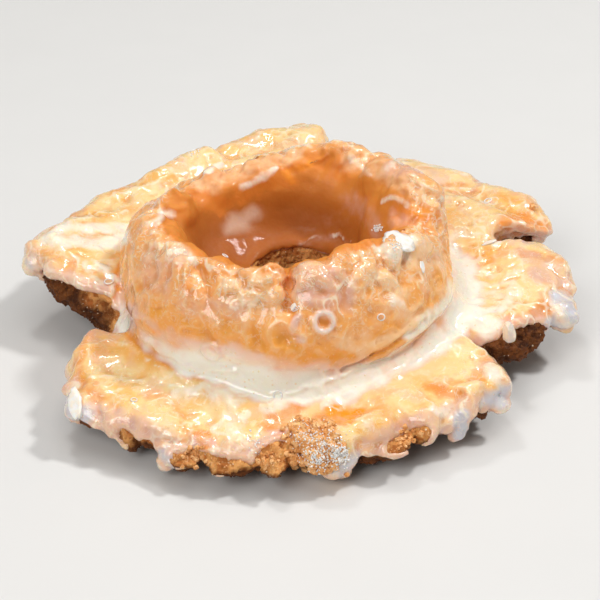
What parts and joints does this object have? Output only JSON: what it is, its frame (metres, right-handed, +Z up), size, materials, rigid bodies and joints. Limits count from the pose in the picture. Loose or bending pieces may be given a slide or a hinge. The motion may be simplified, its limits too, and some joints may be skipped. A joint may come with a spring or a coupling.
{
  "type": "old fashioned doughnut",
  "caption": "Glazed old fashioned cake doughnut: a tall crinkled crown round a funnel-shaped hole, with split petals of crust flaring out at its foot.",
  "frame": {"origin": "centre of the bounding box at the height of the foot it rests on", "axes": "+Z up, through the hole; +X to the right of the picture; the picture was taken from the -Y side"},
  "size_m": [0.102, 0.0986, 0.0311],
  "materials": {
    "glazed_crust": "golden fried dough under a thin shiny sugar glaze"
  },
  "bodies": {
    "root": {"doughnut": "glazed_crust"}
  },
  "joints": []
}
